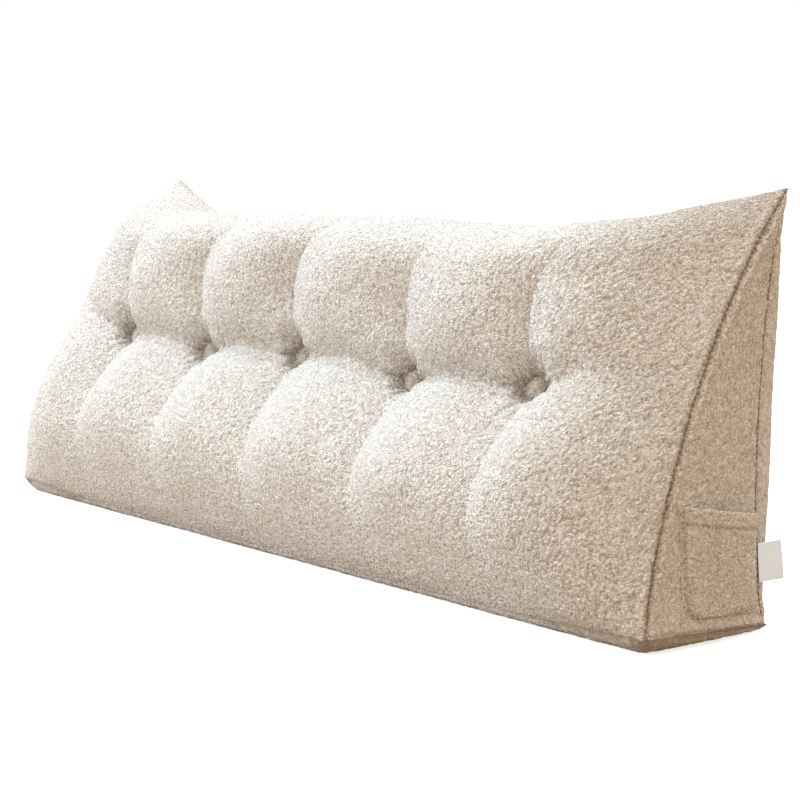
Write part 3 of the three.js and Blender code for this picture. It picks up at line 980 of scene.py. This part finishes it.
# Materials, in metres and in features to the metre; each noise is its scale, its detail and its distortion
SWAY_NOISE = (260.0, 1.0, 0.0)
WORM_NOISE = (240.0, 0.5, 0.8)
FIBRE_NOISE = (1100.0, 1.0, 0.4)
PATCH_NOISE = (22.0, 2.0, 0.0)
SWAY_REACH = 0.009
CURL_SCALE = 340.0
CURL_EDGE = 0.78
CURL_TOP = 0.12
WORM_WIDTH = 0.13
CURL_RELIEF = 0.0034
HEIGHT_MIX = {"curl": 0.6, "worm": 0.4}
TONE_MIX = {"height": 0.5, "fibre": 0.14, "pile": 0.32, "patch": 0.08}
TONE_AT = {"deep": 0.06, "mid": 0.44, "tip": 0.76}
FLEECE_ROUGHNESS = 0.95
FLEECE_SPECULAR = 0.12
SHEEN_ROUGHNESS = 0.5
WEAVE_BUMP = 0.3
WEAVE_RELIEF = 0.0002


def node(tree, kind, *values, inputs=None, **options):
    """A new node of the tree: values fill its first inputs, and inputs fill the ones that they name."""
    made = tree.nodes.new("ShaderNode" + kind)
    for option, choice in options.items():
        setattr(made, option, choice)
    for socket, value in [*enumerate(values), *(inputs or {}).items()]:
        if isinstance(value, bpy.types.NodeSocket):
            tree.links.new(value, made.inputs[socket])
        else:
            made.inputs[socket].default_value = value
    return made


def principled(name, colour, roughness):
    """A new material, its node tree and its shader."""
    material = bpy.data.materials.new(name)
    material.use_nodes = True
    shader = material.node_tree.nodes["Principled BSDF"]
    shader.inputs["Base Color"].default_value = (*colour, 1.0)
    shader.inputs["Roughness"].default_value = roughness
    return material, material.node_tree, shader


def fleece(name, deep, mid, tip, sheen):
    """Teddy fleece: pale worm-like curls over darker gaps, in colour and in relief."""
    material, tree, shader = principled(name, mid, FLEECE_ROUGHNESS)
    shader.inputs["Specular IOR Level"].default_value = FLEECE_SPECULAR
    shader.inputs["Sheen Weight"].default_value = sheen
    shader.inputs["Sheen Roughness"].default_value = SHEEN_ROUGHNESS
    # the pile attribute brings the curls' height, less the painted shade of seams, seats, crease and base
    # ends, into the colour
    pile = node(tree, "Attribute", attribute_name="pile").outputs["Fac"]
    place = node(tree, "TexCoord").outputs["Object"]

    def noise(scale, detail, distortion):
        settings = {"Vector": place, "Scale": scale, "Detail": detail, "Distortion": distortion}
        return node(tree, "TexNoise", inputs=settings).outputs

    def maths(operation, *values):
        return node(tree, "Math", *values, operation=operation).outputs[0]

    def vectors(operation, *values):
        return node(tree, "VectorMath", *values, operation=operation).outputs[0]

    def spread(value, low, high):
        limits = {"Value": value, "From Min": low, "From Max": high}
        return node(tree, "MapRange", inputs=limits).outputs["Result"]

    def weighted(*pairs):
        total = maths("MULTIPLY", *pairs[0])
        for value, weight in pairs[1:]:
            total = maths("ADD", total, maths("MULTIPLY", value, weight))
        return total

    centred = vectors("SUBTRACT", noise(*SWAY_NOISE)["Color"], (0.5, 0.5, 0.5))
    swirled = vectors("ADD", place, vectors("MULTIPLY", centred, (SWAY_REACH,) * 3))
    cells = node(tree, "TexVoronoi", inputs={"Vector": swirled, "Scale": CURL_SCALE})
    curl = spread(cells.outputs["Distance"], CURL_EDGE, CURL_TOP)
    off_worm = maths("ABSOLUTE", maths("SUBTRACT", noise(*WORM_NOISE)["Fac"], 0.5))
    worm = maths("SUBTRACT", 1.0, spread(off_worm, 0.0, WORM_WIDTH))
    height = weighted((curl, HEIGHT_MIX["curl"]), (worm, HEIGHT_MIX["worm"]))
    tone = weighted(
        (height, TONE_MIX["height"]),
        (noise(*FIBRE_NOISE)["Fac"], TONE_MIX["fibre"]),
        (pile, TONE_MIX["pile"]),
        (noise(*PATCH_NOISE)["Fac"], TONE_MIX["patch"]),
    )
    ramp = node(tree, "ValToRGB", tone)
    stops = ramp.color_ramp.elements
    stops[0].position = TONE_AT["deep"]
    stops[0].color = (*deep, 1.0)
    stops[1].position = TONE_AT["tip"]
    stops[1].color = (*tip, 1.0)
    stops.new(TONE_AT["mid"]).color = (*mid, 1.0)
    tree.links.new(ramp.outputs["Color"], shader.inputs["Base Color"])
    bump = node(tree, "Bump", inputs={"Strength": 1.0, "Distance": CURL_RELIEF, "Height": height})
    tree.links.new(bump.outputs["Normal"], shader.inputs["Normal"])
    return material


def woven(name, colour, roughness, scale):
    """Smooth cloth or thread with a fine regular weave."""
    material, tree, shader = principled(name, colour, roughness)
    place = node(tree, "TexCoord").outputs["Object"]
    wave = node(tree, "TexWave", inputs={"Vector": place, "Scale": scale}, bands_direction="Z")
    relief = {"Strength": WEAVE_BUMP, "Distance": WEAVE_RELIEF, "Height": wave.outputs["Fac"]}
    bump = node(tree, "Bump", inputs=relief)
    tree.links.new(bump.outputs["Normal"], shader.inputs["Normal"])
    return material


# A fleece has the colours of its ground, its pile and its tips
materials = {
    "cream": fleece("cream_fleece", (0.38, 0.29, 0.21), (0.84, 0.78, 0.71), (0.96, 0.94, 0.91), sheen=0.4),
    # the ends' and pocket's fleece, a little warmer than the cream: partly the end panels' own tone, partly
    # painted warm shade
    "warm": fleece("warm_fleece", (0.40, 0.30, 0.22), (0.85, 0.77, 0.69), (0.96, 0.93, 0.88), sheen=0.3),
    # the buttons' fleece: the cream made darker and warmer as painted shade of their seats
    "button": fleece("button_fleece_painted_shade", (0.34, 0.24, 0.16), (0.72, 0.61, 0.50), (0.88, 0.80, 0.70), sheen=0.2),
    # dark brown thread: partly the thread's own colour, partly painted shade of the seams' grooves
    "thread": woven("sewing_thread", (0.24, 0.15, 0.09), roughness=0.7, scale=900.0),
    "satin": woven("label_satin", (0.76, 0.88, 1.0), roughness=0.45, scale=420.0),
}


def settle(piece, material, slot, *nodes):
    """Gives a piece its material and the CAD nodes that it replaces; the slot is not used."""
    piece.data.materials.append(materials[material])
    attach(piece, "root")
    if nodes:
        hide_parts(*nodes)


FRONT_PIECES = ("front_lower_left", "front_lower_right", "front_upper_left", "front_upper_right")
for name in (*FRONT_PIECES, "back_panel", "base_panel"):
    settle(pieces[name], "cream", "teddy_fleece", "cushion")
for index in range(len(TUFT_X)):
    button = pieces[f"covered_button_{index + 1}"]
    settle(button, "button", "button_cover", f"button_{index + 1}")
settle(pieces["end_right"], "warm", "teddy_fleece_end", "end_panel_right")
settle(pieces["end_left"], "warm", "teddy_fleece_end", "end_panel_left")
settle(pieces["pocket"], "warm", "teddy_fleece_end", "side_pocket")
settle(pieces["seam_thread"], "thread", "teddy_fleece")
settle(pieces["label"], "satin", "label_satin", "care_label")

# Floor and surroundings: the camera sees both bright and plain, and the object gets a warmer, darker light
FLOOR = 30.0
FLOOR_COLOUR = (0.96, 0.97, 1.0)
FLOOR_ROUGHNESS = 0.9
FLOOR_GLOW = 0.72
FLOOR_BOUNCE = (0.55, 0.45, 0.37, 1.0)
FILL_COLOUR = (1.0, 0.84, 0.67, 1.0)
FILL_STRENGTH = 1.1
WHITE = (1.0, 1.0, 1.0, 1.0)


def shown_to_camera(tree, others, shown, output):
    """Sends the shown shader to the camera alone, and the other one to every other ray."""
    camera_ray = node(tree, "LightPath").outputs["Is Camera Ray"]
    both = node(tree, "MixShader", camera_ray, others.outputs[0], shown.outputs[0])
    tree.links.new(both.outputs["Shader"], tree.nodes[output].inputs["Surface"])


floor_corners = [(x * FLOOR, y * FLOOR, 0.0) for x, y in ((-1, -1), (1, -1), (1, 1), (-1, 1))]
floor_mesh = bpy.data.meshes.new("floor")
floor_mesh.from_pydata(floor_corners, [], [(0, 1, 2, 3)])
floor_material, floor_tree, floor_shader = principled("pale_floor", FLOOR_COLOUR, FLOOR_ROUGHNESS)
bounce = node(floor_tree, "BsdfDiffuse", inputs={"Color": FLOOR_BOUNCE})
glow = node(floor_tree, "Emission", inputs={"Strength": FLOOR_GLOW})
glowing = node(floor_tree, "AddShader", floor_shader.outputs["BSDF"], glow.outputs["Emission"])
shown_to_camera(floor_tree, bounce, glowing, "Material Output")
floor_mesh.materials.append(floor_material)
linked("floor", floor_mesh)

world = bpy.data.worlds.new("studio")
bpy.context.scene.world = world
world.use_nodes = True
fill = world.node_tree.nodes["Background"]
fill.inputs["Color"].default_value = FILL_COLOUR
fill.inputs["Strength"].default_value = FILL_STRENGTH
backdrop = node(world.node_tree, "Background", inputs={"Color": WHITE})
shown_to_camera(world.node_tree, fill, backdrop, "World Output")

# Soft spots from the upper left in front and a rim light from above and behind, each with its way and its
# share of the power; a key's last point is where its pool ends on the front, the rim's is what it is aimed at
KEY_FAR = 5.5
KEY_POOL = 1.3
KEY_POWER = 2080.0
KEY_SOFTNESS = 0.07
KEY_EDGE = 0.1
FRONT_CLIMB = Vector((0.0, 0.42, 0.9))
KEY_COLOUR = (0.64, 0.83, 1.0)
KEYS = (
    ("key_left", (-0.45, -0.5, 0.82), 0.32, (0.51, -0.14, 0.27)),
    ("key_high", (-0.12, -0.25, 1.2), 0.24, (0.53, -0.14, 0.27)),
    ("key_low", (-0.7, -0.8, 0.4), 0.12, (0.51, -0.14, 0.27)),
    ("key_front", (0.12, -0.8, 0.68), 0.28, (0.5, -0.14, 0.27)),
)
RIM = ((0.1, 0.5, 1.1), 0.2, (0.1, 0.1, 0.35))


def spot(name, way, share, aim):
    """A soft spot at KEY_FAR from its aim, with its share of the power."""
    light_data = bpy.data.lights.new(name, "SPOT")
    light_data.energy = KEY_POWER * share
    light_data.color = KEY_COLOUR
    light_data.shadow_soft_size = KEY_SOFTNESS
    light_data.spot_size = 2.0 * math.atan(KEY_POOL / KEY_FAR)
    light_data.spot_blend = KEY_EDGE
    light = linked(name, light_data)
    light.location = aim + KEY_FAR * way
    light.rotation_euler = (-way).to_track_quat("-Z", "Y").to_euler()


for name, way, share, edge in KEYS:
    way = Vector(way).normalized()
    across = FRONT_CLIMB.cross(way).normalized()
    spot(name, way, share, Vector(edge) - KEY_POOL * across)
rim_way, rim_share, rim_aim = RIM
spot("rim", Vector(rim_way).normalized(), rim_share, Vector(rim_aim))

# Camera at the photograph's viewing angle
CAMERA_AZIMUTH = math.radians(48.30)
CAMERA_DROP = math.radians(7.16)
CAMERA_ROLL = math.radians(0.81)
CAMERA_PLACE = (1.7311, -1.4317, 0.4736)
PHOTO_SIDE = 800.0
FOCAL_PIXELS = 1804.3
SENSOR = 36.0
CAMERA_SIGHT = 200.0

forward = Vector((
    -math.sin(CAMERA_AZIMUTH) * math.cos(CAMERA_DROP),
    math.cos(CAMERA_AZIMUTH) * math.cos(CAMERA_DROP),
    -math.sin(CAMERA_DROP),
))
level = Vector((math.cos(CAMERA_AZIMUTH), math.sin(CAMERA_AZIMUTH), 0.0))
above = level.cross(forward)
right = level * math.cos(CAMERA_ROLL) + above * math.sin(CAMERA_ROLL)
up = above * math.cos(CAMERA_ROLL) - level * math.sin(CAMERA_ROLL)
camera_data = bpy.data.cameras.new("camera")
camera_data.sensor_width = SENSOR
camera_data.lens = FOCAL_PIXELS / PHOTO_SIDE * SENSOR
camera_data.clip_end = CAMERA_SIGHT
camera = linked("camera", camera_data)
turn = Matrix((right, up, -forward)).transposed().to_4x4()
camera.matrix_world = Matrix.Translation(CAMERA_PLACE) @ turn
bpy.context.scene.camera = camera
bpy.context.scene.view_settings.view_transform = "Standard"
